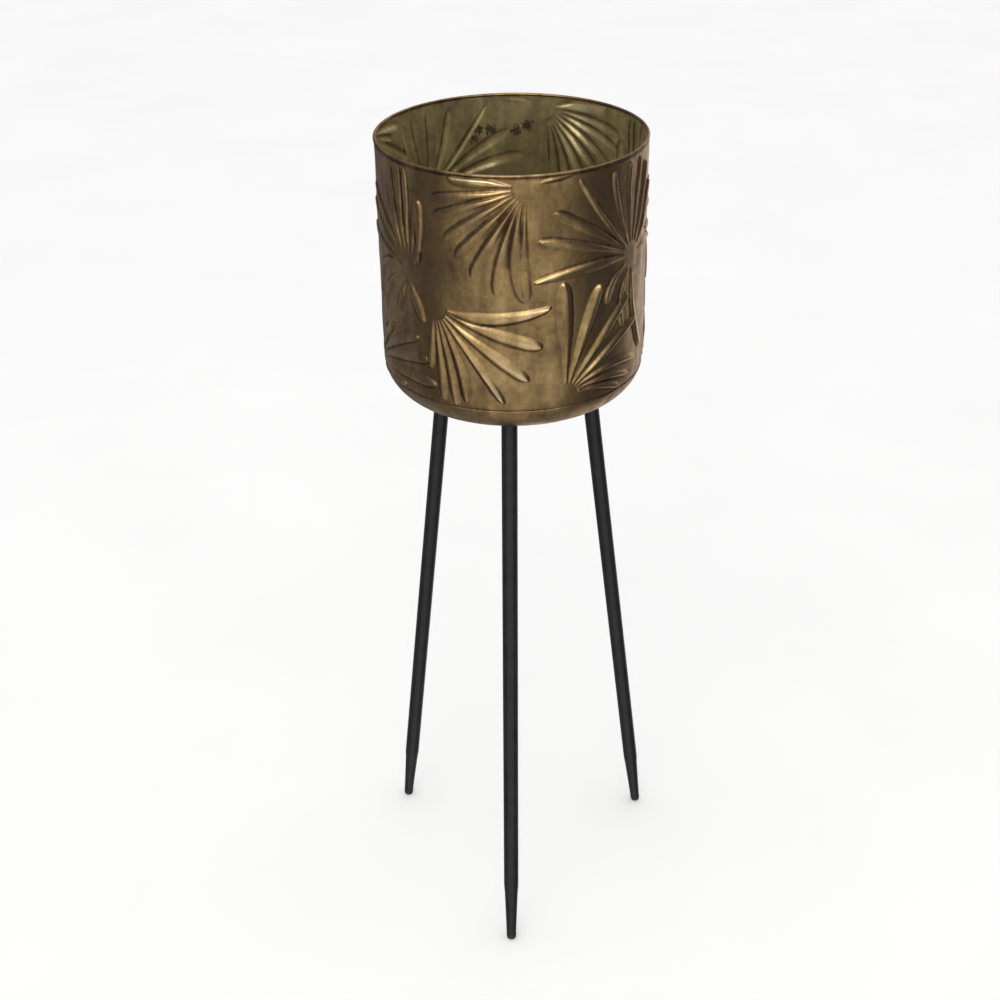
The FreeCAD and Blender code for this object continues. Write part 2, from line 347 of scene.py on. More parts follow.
def distance_along(x, z, line_x, line_z):
    """Each point's distance from a line of short runs, above 0 to the right of the way it runs and below 0
    to the left, and the share of its length where it is nearest."""
    step_x, step_z = np.diff(line_x), np.diff(line_z)
    along = ((x - line_x[:-1]) * step_x + (z - line_z[:-1]) * step_z) / (step_x**2 + step_z**2)
    along = np.clip(along, 0, 1)
    off_x, off_z = x - line_x[:-1] - along * step_x, z - line_z[:-1] - along * step_z
    gap = np.hypot(off_x, off_z)
    side = np.where(off_x * step_z > off_z * step_x, 1, -1)
    nearest = gap.argmin(1)
    row = np.arange(len(nearest))
    return (gap * side)[row, nearest], (nearest + along[row, nearest]) / len(step_x)


def frond_half_width(frond, along):
    """Half a frond's width at a share of its length: a narrow base, a long swell and a round tip."""
    grown = smooth_step(along, WIDENING_START, WIDENING_END * frond.widest)
    width = FROND_BASE_WIDTH + (frond.width * FROND_FULLNESS - FROND_BASE_WIDTH) * grown
    tip = np.clip((along - frond.widest) / (1 - frond.widest), 0, 1)
    return width / 2 * np.sqrt(1 - tip**2 * TIP_ROUNDING)


def pressed_frond(frond, leaf, distance, along):
    """One frond's height in mm and the groove at its edges, from 0 to 1, at points that are given by their
    distance from the line along its middle and how far along it they are."""
    half_width = frond_half_width(frond, along)
    across = distance / half_width - RIDGE_SHIFT
    across = across / np.where(across > 0, 1 - RIDGE_SHIFT, 1 + RIDGE_SHIFT)
    dome = np.clip(1 - across**2, 0, 1) ** DOME_SHARPNESS
    swell = HUB_SHARE + (1 - HUB_SHARE) * smooth_step(along, 0, RISEN)
    swell *= 1 - (1 - leaf.at_tip) * smooth_step(along, RISEN, 1)
    edge = np.exp(-(((np.abs(distance) - half_width) / GROOVE_REACH) ** 2))
    edge *= np.where(distance > 0, 1, LEFT_EDGE)
    groove = edge * np.minimum(half_width, FULL_GROOVE_WIDTH) / FULL_GROOVE_WIDTH
    return leaf.height * frond.rise * swell * dome, groove


def pressed_leaves(x, z):
    """How far the sheet is pressed out at points x round it and z up it, in mm, and how deep in a groove
    each point lies, from 0 to 1. The grooves also set the patina and painted shade in the creases."""
    height = np.zeros(x.shape)
    groove = np.zeros(x.shape)
    for leaf, azimuth, below_rim in LEAF_PLACES:
        for frond in leaf.fronds:
            line_x, line_z = frond_line(frond, leaf, *on_sheet(azimuth, below_rim))
            middle_x = (line_x.min() + line_x.max()) / 2
            reach_x = (line_x.max() - line_x.min()) / 2 + frond.width
            from_middle = (x - middle_x + SHEET_LENGTH / 2) % SHEET_LENGTH - SHEET_LENGTH / 2
            near = np.abs(from_middle) < reach_x
            near &= (z > line_z.min() - frond.width) & (z < line_z.max() + frond.width)
            points_x = (from_middle[near] + middle_x)[:, None]
            distance, along = distance_along(points_x, z[near][:, None], line_x, line_z)
            frond_height, frond_groove = pressed_frond(frond, leaf, distance, along)
            height[near] = np.maximum(height[near], frond_height)
            groove[near] += frond_groove
    return height, np.clip(groove - SINGLE_EDGE, 0, 1)


def soften(values):
    """Each value averaged with its neighbours up, down and to both sides, the grid's edges joined up."""
    total = values + np.roll(values, 1, 0) + np.roll(values, -1, 0)
    return (total + np.roll(values, 1, 1) + np.roll(values, -1, 1)) / 5


# The slow waves that hand work leaves in the sheet. Each is so many mm high and is two ripples crossed,
# with each ripple's turns round the sheet, its slope up it in mm to a radian, and its shift.
WAVES = (
    (0.30, (5, 31, 0), (0, 37, 1.3)),
    (0.22, (11, -23, 0.7), (3, 17, 0)),
    (0.12, (23, 13, 2.1), (7, -11, 0)),
)


def unevenness(x, z):
    """How far the sheet's waves lift it at points x round it and z up it, in mm."""
    turn = 2 * np.pi * x / SHEET_LENGTH
    lift = np.zeros(x.shape)
    for size, first, second in WAVES:
        wave = size
        for turns, slope, shift in (first, second):
            wave = wave * np.sin(turns * turn + z / slope + shift)
        lift += wave
    return lift


# ---------------------------------------------------------------- pot

ROW_STEP = 0.85 * MM
INNER_ROW_STEP = 1.4 * MM
BEAD_STEP = 0.75 * MM
WALL_COLUMNS = 960
LIP_HEIGHT = CORNER_CENTRE_HEIGHT + CORNER_RADIUS * math.sin(math.radians(LIP_END_ANGLE))
BEAD_FOOT = BEAD_CENTRE_HEIGHT - BEAD_RADIUS
# Over these heights the relief fades out, above the pan's lip and below the rolled rim.
RELIEF_FADE = 4 * MM
RIM_FADE = 2 * MM
# The relief's height in mm at which it is rubbed bright; from a little below it up, the relief also carries
# a painted highlight.
POLISH_AND_HIGHLIGHT_HEIGHT = 3.2
# The dark seam line along the pan's lip, and the painted shade under the rolled rim, fainter up the rim: how
# dark they are and how far they reach.
SEAM_DARKNESS = 0.4
SEAM_REACH = 2.2 * MM
UNDER_RIM_SHADE = 0.6
RIM_TOP_SHADE = 0.2
UNDER_RIM_SHADE_REACH = 1.4 * MM
# Dark soldering stains on the inside of the sheet: azimuth, distance below the rim and radius in mm.
STAINS = (
    (192.5, 38, 7),
    (197.5, 37, 5),
    (200, 46, 5),
    (181, 39, 6),
    (176, 34, 7),
)


def wall_outline():
    """The side sheet's section, once round: (radius, height) rows, and 1 or -1 for each, as it lies outside
    or inside the sheet."""
    corner = (CORNER_CENTRE_RADIUS, CORNER_CENTRE_HEIGHT)
    bead = (BEAD_CENTRE_RADIUS, BEAD_CENTRE_HEIGHT)
    hollow = BEAD_RADIUS - SHEET
    inner_radius = WALL_RADIUS - SHEET
    outer_start = -math.degrees(math.acos((WALL_RADIUS - BEAD_CENTRE_RADIUS) / BEAD_RADIUS))
    inner_start = -90 + math.degrees(math.asin((inner_radius - BEAD_CENTRE_RADIUS) / hollow))
    outer_foot = BEAD_CENTRE_HEIGHT + BEAD_RADIUS * math.sin(math.radians(outer_start))
    inner_foot = BEAD_CENTRE_HEIGHT + hollow * math.sin(math.radians(inner_start))
    curl_end = 270 - math.degrees(math.asin((BEAD_CENTRE_RADIUS - inner_radius + CURL_GAP) / BEAD_RADIUS))
    parts = (
        (arc(corner, CORNER_RADIUS, LAP_END_ANGLE, 0, ROW_STEP), 1),
        (run((WALL_RADIUS, CORNER_CENTRE_HEIGHT), (WALL_RADIUS, outer_foot), ROW_STEP), 1),
        (arc(bead, BEAD_RADIUS, outer_start, curl_end, BEAD_STEP), 1),
        (arc(bead, hollow, curl_end, inner_start, BEAD_STEP), -1),
        (run((inner_radius, inner_foot), (inner_radius, CORNER_CENTRE_HEIGHT), INNER_ROW_STEP), -1),
        (arc(corner, CORNER_RADIUS - SHEET, 0, LAP_END_ANGLE, INNER_ROW_STEP), -1),
    )
    points = np.vstack([part for part, _ in parts])
    facing = np.concatenate([np.full(len(part), side) for part, side in parts])
    return points, facing


def relief_fade(height):
    """How much of the relief the sheet takes: none inside the pan's lip or in the rolled rim."""
    fade = smooth_step(height, LIP_HEIGHT, LIP_HEIGHT + RELIEF_FADE)
    return fade * smooth_step(height, BEAD_FOOT, BEAD_FOOT - RIM_FADE)


def outwards(radius, height):
    """The way the sheet faces, as a step in radius and a step in height that are 1 long together."""
    in_corner = np.minimum(height - CORNER_CENTRE_HEIGHT, 0)
    out_radius = np.where(in_corner < 0, radius - CORNER_CENTRE_RADIUS, 1)
    length = np.hypot(out_radius, in_corner)
    return out_radius / length, in_corner / length


def seam_and_rim_shade(height):
    """How dark the seam line along the pan's lip and the painted shade under the rolled rim are, from 0 to
    1.
    """
    seam = SEAM_DARKNESS * np.exp(-(((height - LIP_HEIGHT) / SEAM_REACH) ** 2))
    up_bead = smooth_step(height, BEAD_FOOT, wall_high.z)
    # Painted shade under the rolled rim, fainter towards the rim's top.
    rim_shade = np.exp(-((np.minimum(height - BEAD_FOOT, 0) / UNDER_RIM_SHADE_REACH) ** 2))
    rim_shade *= UNDER_RIM_SHADE + (RIM_TOP_SHADE - UNDER_RIM_SHADE) * up_bead
    return np.maximum(seam, rim_shade)


def stained(x, z):
    """How stained the sheet is at points x round it and z up it, from 0 to 1."""
    stain = np.zeros(x.shape)
    for azimuth, below_rim, radius in STAINS:
        stain_x, stain_z = on_sheet(azimuth, below_rim)
        away = np.hypot(x - stain_x, z - stain_z)
        stain = np.maximum(stain, np.exp(-((away / radius) ** 2)))
    return stain


def make_pot_wall():
    """The embossed side sheet, from its lap in the bottom pan up to the rolled rim and back down inside."""
    outline, facing = wall_outline()
    radius, height = outline[:, :1], outline[:, 1:]
    azimuth = 2 * np.pi * np.arange(WALL_COLUMNS) / WALL_COLUMNS
    x, z = np.meshgrid(azimuth * WALL_RADIUS / MM, height[:, 0] / MM)
    fade = relief_fade(height)
    leaves, groove = (soften(values) for values in pressed_leaves(x, z))
    pressed = (leaves - GROOVE_DEPTH * groove * (leaves < GROOVE_DEPTH) + unevenness(x, z)) * MM
    # At the back the relief is toned down, to stay inside the frame's box.
    room = (cad_high.y - POT_CENTRE.y) / np.maximum(-np.cos(azimuth), 0.5) - WALL_RADIUS
    pressed = pressed * fade * np.clip(room / pressed.max(), 0, 1)
    out_radius, out_height = outwards(radius, height)
    at_radius = radius + pressed * out_radius
    points = np.stack(
        [
            POT_CENTRE.x + at_radius * np.sin(azimuth),
            POT_CENTRE.y - at_radius * np.cos(azimuth),
            height + pressed * out_height,
        ],
        -1,
    )
    wall = grid_object("embossed_wall", points, True, True)
    outside = np.broadcast_to(facing[:, None] > 0, x.shape)
    # The creases beside the fronds are darkened, partly as patina and partly as painted shade.
    groove_patina_and_shade = np.clip(groove - leaves / 2, 0, 1) * fade
    attribute(wall, "relief", leaves * fade / POLISH_AND_HIGHLIGHT_HEIGHT)
    attribute(wall, "patina_seam_and_shade", np.maximum(groove_patina_and_shade, seam_and_rim_shade(height) * outside))
    attribute(wall, "inside", ~outside)
    attribute(wall, "stain", stained(x, z) * ~outside)
    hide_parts("pot_wall")
    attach(wall, "pot")
    return wall


# The pan's mesh is coarser than the sheet's, because it carries no relief.
PAN_STEP = 2 * MM
PAN_RING_STEP = 4 * MM
PAN_COLUMNS = 360
# What the lip's rounding takes off the pan's corner bend, in degrees.
LIP_ROUNDING = 0.6
# How far the pan's lip is rubbed bright, as a share of a frond's polish, and over what height.
LIP_RUBBED = 0.6
LIP_RUBBED_HEIGHT = 2 * MM


def make_bottom_pan():
    """The pressed dish under the side sheet, its lip rounded over the edge."""
    corner = (CORNER_CENTRE_RADIUS, CORNER_CENTRE_HEIGHT)
    lip = math.radians(LIP_END_ANGLE)
    middle = CORNER_RADIUS + SOLDER_GAP + SHEET / 2
    lip_centre = (corner[0] + middle * math.cos(lip), corner[1] + middle * math.sin(lip))
    bend_end = LIP_END_ANGLE - LIP_ROUNDING
    inside = pan_low.z + SHEET
    outline = np.vstack([
        run((0, pan_low.z), (corner[0], pan_low.z), PAN_RING_STEP),
        arc(corner, PAN_CORNER_RADIUS, -90, bend_end, PAN_STEP),
        arc(lip_centre, SHEET / 2, LIP_END_ANGLE, LIP_END_ANGLE + 180, SHEET / 6),
        arc(corner, PAN_CORNER_RADIUS - SHEET, bend_end, -90, PAN_STEP),
        run((corner[0], inside), (0, inside), PAN_RING_STEP),
        [(0, inside)],
    ])
    place = Matrix.Translation((POT_CENTRE.x, POT_CENTRE.y, 0))
    pan = turned("rolled_lip_pan", outline, place, PAN_COLUMNS)
    heights = np.array([vertex.co.z for vertex in pan.data.vertices])
    brightened = smooth_step(heights, pan_high.z - LIP_RUBBED_HEIGHT, pan_high.z) * LIP_RUBBED
    attribute(pan, "relief", brightened)
    for name in ("patina_seam_and_shade", "inside", "stain"):
        attribute(pan, name, np.zeros(len(heights)))
    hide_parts("bottom_pan")
    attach(pan, "pot")
    return pan


# ---------------------------------------------------------------- legs

THREAD_PITCH = 1.25 * MM
THREAD_DEPTH = 0.65 * MM
THREAD_PLAY = 0.05 * MM
THREAD_ROW = THREAD_PITCH / 8
# Points round a turned piece.
TUBE_COLUMNS = 72
CAP_COLUMNS = 64
THREAD_COLUMNS = 48
TUBE_WALL = 1 * MM
TUBE_END_RADIUS = 5.3 * MM
SHOULDER_HEIGHT = 70 * MM
# The tube is first drawn in by a small step over a short length, and then tapered to the foot.
DRAWN_STEP = 0.75 * MM
DRAWN_LENGTH = 8 * MM
SHOULDER_BEND = 3 * MM
TAPER_BEND = 4 * MM
TUBE_EDGE = 0.4 * MM
TUBE_INNER_EDGE = 0.2 * MM
CAP_PLAY = 0.05 * MM
CAP_TIP_INSET = 0.6 * MM
CAP_TIP_EDGE = 1.1 * MM
CAP_SIDE_BEND = 1.5 * MM
CAP_STEM_RADIUS = 4.3 * MM
CAP_STEM_BEVEL = 1 * MM
# The flash line round the foot: its top and its bottom below the tube's end, and its depth.
FLASH_TOP = 0.3 * MM
FLASH_BOTTOM = 0.5 * MM
FLASH_DEPTH = 0.2 * MM
WASHER_HOLE = 4.2 * MM
WASHER_EDGE = 0.35 * MM
CHAMFER = 0.8 * MM
STUD_BEVEL = 0.3 * MM
STUD_BEVEL_HEIGHT = 0.48 * MM
PLUG_BORE = 4.05 * MM
PLUG_EDGE = 0.3 * MM


def leg_place(side):
    """A leg's own frame: its origin where its axis meets the floor, and Z up along it."""
    joint = next(j for j in frame["joints"] if j["name"] == f"{side}_leg_screw")
    up = -Vector(joint["axis"]).normalized()
    foot = Vector(joint["pos_m"]) - up * (joint["pos_m"][2] / up.z)
    return Matrix.Translation(foot) @ up.to_track_quat("Z", "Y").to_matrix().to_4x4()


def span(node, place):
    """A node's lowest and highest height along a leg, and its largest radius round it."""
    mesh = frame["nodes"][node].data
    inverse = place.inverted()
    points = np.array([inverse @ vertex.co for vertex in mesh.vertices])
    return points[:, 2].min(), points[:, 2].max(), np.hypot(points[:, 0], points[:, 1]).max()


def finish_leg_piece(piece, node, body):
    """Hides the frame's node that a leg's piece replaces, and hangs the piece on the body that carries it.
    """
    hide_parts(node)
    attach(piece, body)
    return piece


def make_leg_tube(side, place):
    """The leg: plain tube, then a small shoulder and a long drawn taper to the foot."""
    low, high, radius = span(f"{side}_leg_tube", place)
    outline = rounded([
        (TUBE_END_RADIUS - TUBE_WALL, low, 0),
        (TUBE_END_RADIUS, low, TUBE_EDGE),
        (radius - DRAWN_STEP, SHOULDER_HEIGHT - DRAWN_LENGTH, TAPER_BEND),
        (radius, SHOULDER_HEIGHT, SHOULDER_BEND),
        (radius, high, TUBE_EDGE),
        (radius - TUBE_WALL, high, TUBE_INNER_EDGE),
        (radius - TUBE_WALL, SHOULDER_HEIGHT, SHOULDER_BEND),
    ])
    tube = turned(f"{side}_tapered_tube", outline, place, TUBE_COLUMNS, closed=True)
    return finish_leg_piece(tube, f"{side}_leg_tube", f"{side}_leg")


def make_foot_cap(side, place):
    """The moulded foot end: a flat tip with a rounded edge, a thin flash line and a stem inside the tube."""
    low, high, radius = span(f"{side}_foot_cap", place)
    collar = span(f"{side}_leg_tube", place)[0]
    tip = low + CAP_TIP_INSET
    wide = radius - CAP_PLAY
    outline = rounded([
        (0, tip, 0),
        (radius - CAP_TIP_INSET, tip, CAP_TIP_EDGE),
        (wide, low + radius, CAP_SIDE_BEND),
        (wide, collar - FLASH_BOTTOM, 0),
        (wide - FLASH_DEPTH, collar - FLASH_TOP, 0),
        (wide, collar - CAP_PLAY, 0),
        (CAP_STEM_RADIUS, collar - CAP_PLAY, 0),
        (CAP_STEM_RADIUS, high - CAP_STEM_BEVEL, 0),
        (CAP_STEM_RADIUS - CAP_STEM_BEVEL, high, 0),
        (0, high, 0),
    ])
    cap = turned(f"{side}_moulded_foot", outline, place, CAP_COLUMNS)
    return finish_leg_piece(cap, f"{side}_foot_cap", f"{side}_leg")


def make_washer(side, place):
    """The washer between a leg's top and its seat, its edges eased as stamped ones are."""
    low, high, radius = span(f"{side}_leg_washer", place)
    outline = rounded([
        (radius, low, WASHER_EDGE),
        (radius, high, WASHER_EDGE),
        (WASHER_HOLE, high, WASHER_EDGE),
        (WASHER_HOLE, low, WASHER_EDGE),
    ])
    washer = turned(f"{side}_zinc_washer", outline, place, CAP_COLUMNS, closed=True)
    return finish_leg_piece(washer, f"{side}_leg_washer", f"{side}_washer")


def threaded_run(radius, low, high, depth):
    """Rows of (radius, height, thread depth) up a threaded run, the thread fading in at both ends."""
    heights = np.arange(low, high, THREAD_ROW)
    fade = np.minimum(1, np.minimum(heights - low, high - heights) / THREAD_PITCH)
    return np.stack([np.full(len(heights), radius), heights, depth * fade], 1)


def plain_rows(corners):
    """Rows of (radius, height, thread depth) for corners given by radius and height, without a thread."""
    return np.array([(*corner, 0) for corner in corners])


def make_stud(side, place):
    """The stud that the leg screws onto: threaded from its tip to the seat's face, and plain above it."""
    low, high, radius = span(f"{side}_leg_stud", place)
    seat_face = span(f"{side}_leg_seat", place)[0]
    outline = np.vstack([
        plain_rows([(0, low), (radius - CHAMFER, low), (radius - STUD_BEVEL, low + STUD_BEVEL_HEIGHT)]),
        threaded_run(radius, low + CHAMFER, seat_face, THREAD_DEPTH),
        plain_rows([(radius, seat_face), (radius, high), (0, high)]),
    ])
    stud = turned(f"{side}_threaded_stud", outline, place, THREAD_COLUMNS, pitch=THREAD_PITCH)
    return finish_leg_piece(stud, f"{side}_leg_stud", "pot")


def make_insert(side, place):
    """The plug in the top of the tube, tapped right through."""
    low, high, radius = span(f"{side}_leg_insert", place)
    tapped = threaded_run(PLUG_BORE, low + CHAMFER, high - CHAMFER, THREAD_DEPTH - THREAD_PLAY)
    mouth = PLUG_BORE + CHAMFER
    outline = np.vstack([
        plain_rows([(mouth, low), (radius - CHAMFER, low), (radius, low + CHAMFER)]),
        plain_rows([(radius, high - PLUG_EDGE), (radius - PLUG_EDGE, high), (mouth, high)]),
        tapped[::-1],
    ])
    insert = turned(f"{side}_tapped_plug", outline, place, THREAD_COLUMNS, closed=True, pitch=THREAD_PITCH)
    return finish_leg_piece(insert, f"{side}_leg_insert", f"{side}_leg")


# The weld bead round a leg's seat. Its size goes up and down as it goes round: ripples where the welder
# moved on, and slower swells.
WELD_POINTS = 144
WELD_RING = 10
WELD_SIZE = 1.3 * MM
WELD_FLATNESS = 0.8
RIPPLE_SHARE = 0.16
RIPPLE_TURNS = 13
SWELL_SHARE = 0.08
SWELL_TURNS = 5
# The pan is looked for along a line up the seat's side, from this far below the seat to as far above it.
PAST_SEAT = 5 * MM
HALVINGS = 40


def pan_underside(radius):
    """How high the pan's underside is at a distance from the pot's axis."""
    out = np.clip(radius - CORNER_CENTRE_RADIUS, 0, PAN_CORNER_RADIUS)
    return CORNER_CENTRE_HEIGHT - np.sqrt(PAN_CORNER_RADIUS**2 - out**2)


def meet_pan(below, above):
    """Where the pan's underside cuts the line between a point below it and one above it."""
    for _ in range(HALVINGS):
        middle = (below + above) / 2
        if middle.z < pan_underside(math.hypot(middle.x - POT_CENTRE.x, middle.y - POT_CENTRE.y)):
            below = middle
        else:
            above = middle
    return below


def make_weld(side, place):
    """The rippled weld bead round a leg's seat, where it meets the pan."""
    seat_low, seat_high, seat_radius = span(f"{side}_leg_seat", place)
    up = place.to_3x3() @ Vector((0, 0, 1))
    below = place @ Vector((0, 0, seat_low - PAST_SEAT))
    above = place @ Vector((0, 0, seat_high + PAST_SEAT))
    rows = []
    for index in range(WELD_POINTS):
        angle = 2 * math.pi * index / WELD_POINTS
        outward = place.to_3x3() @ Vector((math.cos(angle), math.sin(angle), 0))
        centre = meet_pan(below + outward * seat_radius, above + outward * seat_radius)
        ripple = RIPPLE_SHARE * abs(math.sin(angle * RIPPLE_TURNS))
        swell = SWELL_SHARE * math.sin(angle * SWELL_TURNS + 1)
        size = WELD_SIZE * (1 + ripple + swell)
        for step in range(WELD_RING):
            turn = 2 * math.pi * step / WELD_RING
            rise = up * size * math.sin(turn) * WELD_FLATNESS
            rows.append(centre + outward * size * math.cos(turn) + rise)
    points = np.array(rows).reshape(WELD_POINTS, WELD_RING, 3)
    weld = clean(grid_object(f"{side}_seat_weld", points, True, True))
    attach(weld, "pot")
    return weld


# ---------------------------------------------------------------- materials

# Patina runs from 0, rubbed bright, with a painted highlight on the highest relief, to 1, dark with patina
# and painted shade in the creases.
PATINA_COLOURS = (
    (0.0, (0.86, 0.67, 0.37)),
    (0.30, (0.56, 0.395, 0.18)),
    (0.55, (0.37, 0.245, 0.11)),
    (0.80, (0.19, 0.125, 0.066)),
    (1.0, (0.075, 0.050, 0.034)),
)
INSIDE_COLOURS = (
    (0.1, (0.70, 0.57, 0.29)),
    (0.5, (0.33, 0.268, 0.128)),
    (0.9, (0.10, 0.079, 0.039)),
)
BROWN_TINT = (0.24, 0.15, 0.12, 1)
STAIN_COLOUR = (0.035, 0.028, 0.022, 1)
SCUFF_COLOUR = (0.05, 0.05, 0.052, 1)
# How much less of a metal the dull inside of the pot is.
INSIDE_DULLNESS = 0.45
PAINT_IOR = 1.5


class Shader:
    """Adds nodes to a node tree and joins them up: any value given may be a number or a node's output."""

    def __init__(self, tree):
        self.tree = tree
        tree.nodes.clear()

    def node(self, kind, values=None, **settings):
        node = self.tree.nodes.new("ShaderNode" + kind)
        for name, value in settings.items():
            setattr(node, name, value)
        for name, value in (values or {}).items():
            socket = node.inputs[name]
            if isinstance(value, bpy.types.NodeSocket):
                self.tree.links.new(value, socket)
            else:
                socket.default_value = value
        return node

    def maths(self, operation, first, second=0.0, third=0.0, clamp=False):
        values = {0: first, 1: second, 2: third}
        return self.node("Math", values, operation=operation, use_clamp=clamp).outputs[0]

    def mix(self, share, first, second):
        """A colour that is first where share is 0 and second where it is 1."""
        values = {0: share, 6: first, 7: second}
        return self.node("Mix", values, data_type="RGBA").outputs[2]

    def noise(self, place, scale, detail=4.0, roughness=0.55, distortion=0.0):
        values = {"Vector": place, "Scale": scale, "Detail": detail, "Roughness": roughness}
        values["Distortion"] = distortion
        return self.node("TexNoise", values).outputs["Fac"]

    def swing(self, noise, share, onto):
        """Adds share of a noise's distance from its middle onto another value."""
        return self.maths("MULTIPLY_ADD", self.maths("SUBTRACT", noise, 0.5), share, onto)

    def spread(self, value, low, high, to_low=0.0, to_high=1.0):
        """A smooth step from to_low, where value is low or less, to to_high, where it is high or more."""
        values = {0: value, 1: low, 2: high, 3: to_low, 4: to_high}
        return self.node("MapRange", values, interpolation_type="SMOOTHSTEP").outputs[0]

    def ramp(self, value, stops):
        """A colour looked up between (position, colour) stops."""
        node = self.node("ValToRGB", {0: value})
        elements = node.color_ramp.elements
        while len(elements) < len(stops):
            elements.new(0.5)
        for element, (position, colour) in zip(elements, stops):
            element.position = position
            element.color = (*colour, 1)
        return node.outputs[0]

    def place(self, scale=(1, 1, 1)):
        """The point on the piece, in metres, drawn out along an axis where its scale is less than 1."""
        where = self.node("TexCoord").outputs["Object"]
        return self.node("Mapping", {"Vector": where, "Scale": scale}).outputs[0]

    def stored(self, name):
        """A number stored at the points of the mesh."""
        return self.node("Attribute", attribute_name=name).outputs["Fac"]

    def bump(self, height, distance, strength=1.0, after=None):
        values = {"Height": height, "Distance": distance, "Strength": strength}
        if after is not None:
            values["Normal"] = after
        return self.node("Bump", values).outputs[0]

    def surface(self, **values):
        """The finished surface, from the principled shader's inputs."""
        names = {name.replace("_", " ").title(): value for name, value in values.items()}
        if "Ior" in names:
            names["IOR"] = names.pop("Ior")
        shader = self.node("BsdfPrincipled", names)
        self.node("OutputMaterial", {0: shader.outputs[0]})


def material(name):
    """A new material, and the shader that its nodes are added to."""
    made = bpy.data.materials.new(name)
    made.use_nodes = True
    return made, Shader(made.node_tree)


def antiqued_brass():
    """Antiqued brass: dark brown patina, worn through to bright metal on the raised fronds, with a painted
    highlight on the highest relief, and painted shade in the creases and under the rolled rim.
    """
    made, shade = material("antiqued_brass")
    spot = shade.place()
    relief = shade.stored("relief")
    patina_seam_and_shade = shade.stored("patina_seam_and_shade")
    inside = shade.stored("inside")
    stain = shade.stored("stain")
    cloud = shade.noise(spot, 24, 5, 0.6, 0.4)
    streak = shade.noise(shade.place((1, 1, 0.2)), 70, 5, 0.6)
    blot = shade.noise(spot, 160, 4, 0.6)
    grain = shade.noise(spot, 1100, 3, 0.6)

    patina = 0.5
    for noise, share in ((cloud, 0.75), (streak, 0.75), (blot, 0.45), (grain, 0.25)):
        patina = shade.swing(noise, share, patina)
    # The raised fronds are rubbed bright, and the highest relief gets a painted highlight on top of that.
    brightened = shade.spread(relief, 0.25, 0.9, 0.0, 0.19)
    brightened = shade.maths("ADD", brightened, shade.spread(relief, 0.8, 1.1, 0.0, 0.3))
    patina = shade.maths("SUBTRACT", patina, brightened)
    # The creases' patina and painted shade, the dark seam line and the painted shade under the rolled rim
    # darken the metal.
    patina = shade.maths("MULTIPLY_ADD", patina_seam_and_shade, 0.75, patina, clamp=True)

    tint = shade.spread(shade.noise(spot, 55, 3), 0.52, 0.68, 0.0, 0.35)
    outer_colour = shade.mix(tint, shade.ramp(patina, PATINA_COLOURS), BROWN_TINT)
    colour = shade.mix(inside, outer_colour, shade.ramp(patina, INSIDE_COLOURS))
    speckled = shade.swing(shade.noise(spot, 330, 3, 0.6, 0.8), 3.2, stain)
    speckled = shade.spread(speckled, 0.45, 0.75, 0.0, 0.85)
    stain_share = shade.maths("MULTIPLY", speckled, shade.spread(stain, 0.05, 0.25))
    colour = shade.mix(stain_share, colour, STAIN_COLOUR)

    roughness = shade.swing(grain, 0.12, shade.spread(patina, 0.0, 1.0, 0.22, 0.52))
    dents = shade.bump(shade.noise(spot, 130, 3, 0.5), 0.5 * MM, 0.5)
    normal = shade.bump(grain, 0.05 * MM, 0.6, dents)
    metallic = shade.maths("MULTIPLY_ADD", inside, -INSIDE_DULLNESS, 1.0)
    shade.surface(base_color=colour, metallic=metallic, roughness=roughness, normal=normal)
    return made


def powder_coat():
    """Satin black powder coat: fine orange peel, a little dust and a few pale scuffs."""
    made, shade = material("powder_coat")
    spot = shade.place()
    peel = shade.noise(spot, 1500, 2, 0.5)
    dust = shade.noise(spot, 60, 4, 0.6)
    scuff = shade.noise(shade.place((1, 1, 0.06)), 420, 4, 0.7)
    colour = shade.ramp(dust, [
        (0.3, (0.009, 0.009, 0.010)),
        (0.7, (0.015, 0.0148, 0.015)),
    ])
    colour = shade.mix(shade.spread(scuff, 0.68, 0.8, 0.0, 0.35), colour, SCUFF_COLOUR)
    roughness = shade.spread(dust, 0.3, 0.75, 0.30, 0.46)
    normal = shade.bump(peel, 0.06 * MM, 0.5)
    shade.surface(base_color=colour, roughness=roughness, normal=normal, ior=PAINT_IOR)
    return made


def zinc_plate(name, dull, bright):
    """Zinc plate with a fine spangle, between a dull colour and a bright one."""
    made, shade = material(name)
    spot = shade.place()
    spangle = shade.noise(spot, 500, 4, 0.6)
    colour = shade.ramp(spangle, [
        (0.3, dull),
        (0.7, bright),
    ])
    roughness = shade.spread(spangle, 0.3, 0.7, 0.28, 0.46)
    normal = shade.bump(shade.noise(spot, 2400, 2), 0.03 * MM, 0.4)
    shade.surface(base_color=colour, metallic=1.0, roughness=roughness, normal=normal)
    return made


def drawn_wire():
    """Bare drawn steel, starting to rust."""
    made, shade = material("drawn_wire")
    spot = shade.place()
    rust = shade.noise(spot, 300, 5, 0.65)
    colour = shade.ramp(rust, [
        (0.35, (0.40, 0.39, 0.38)),
        (0.65, (0.30, 0.25, 0.21)),
        (0.8, (0.22, 0.12, 0.07)),
    ])
    roughness = shade.spread(rust, 0.3, 0.8, 0.35, 0.7)
    normal = shade.bump(shade.noise(spot, 1800, 2), 0.04 * MM, 0.5)
    shade.surface(base_color=colour, metallic=1.0, roughness=roughness, normal=normal)
    return made


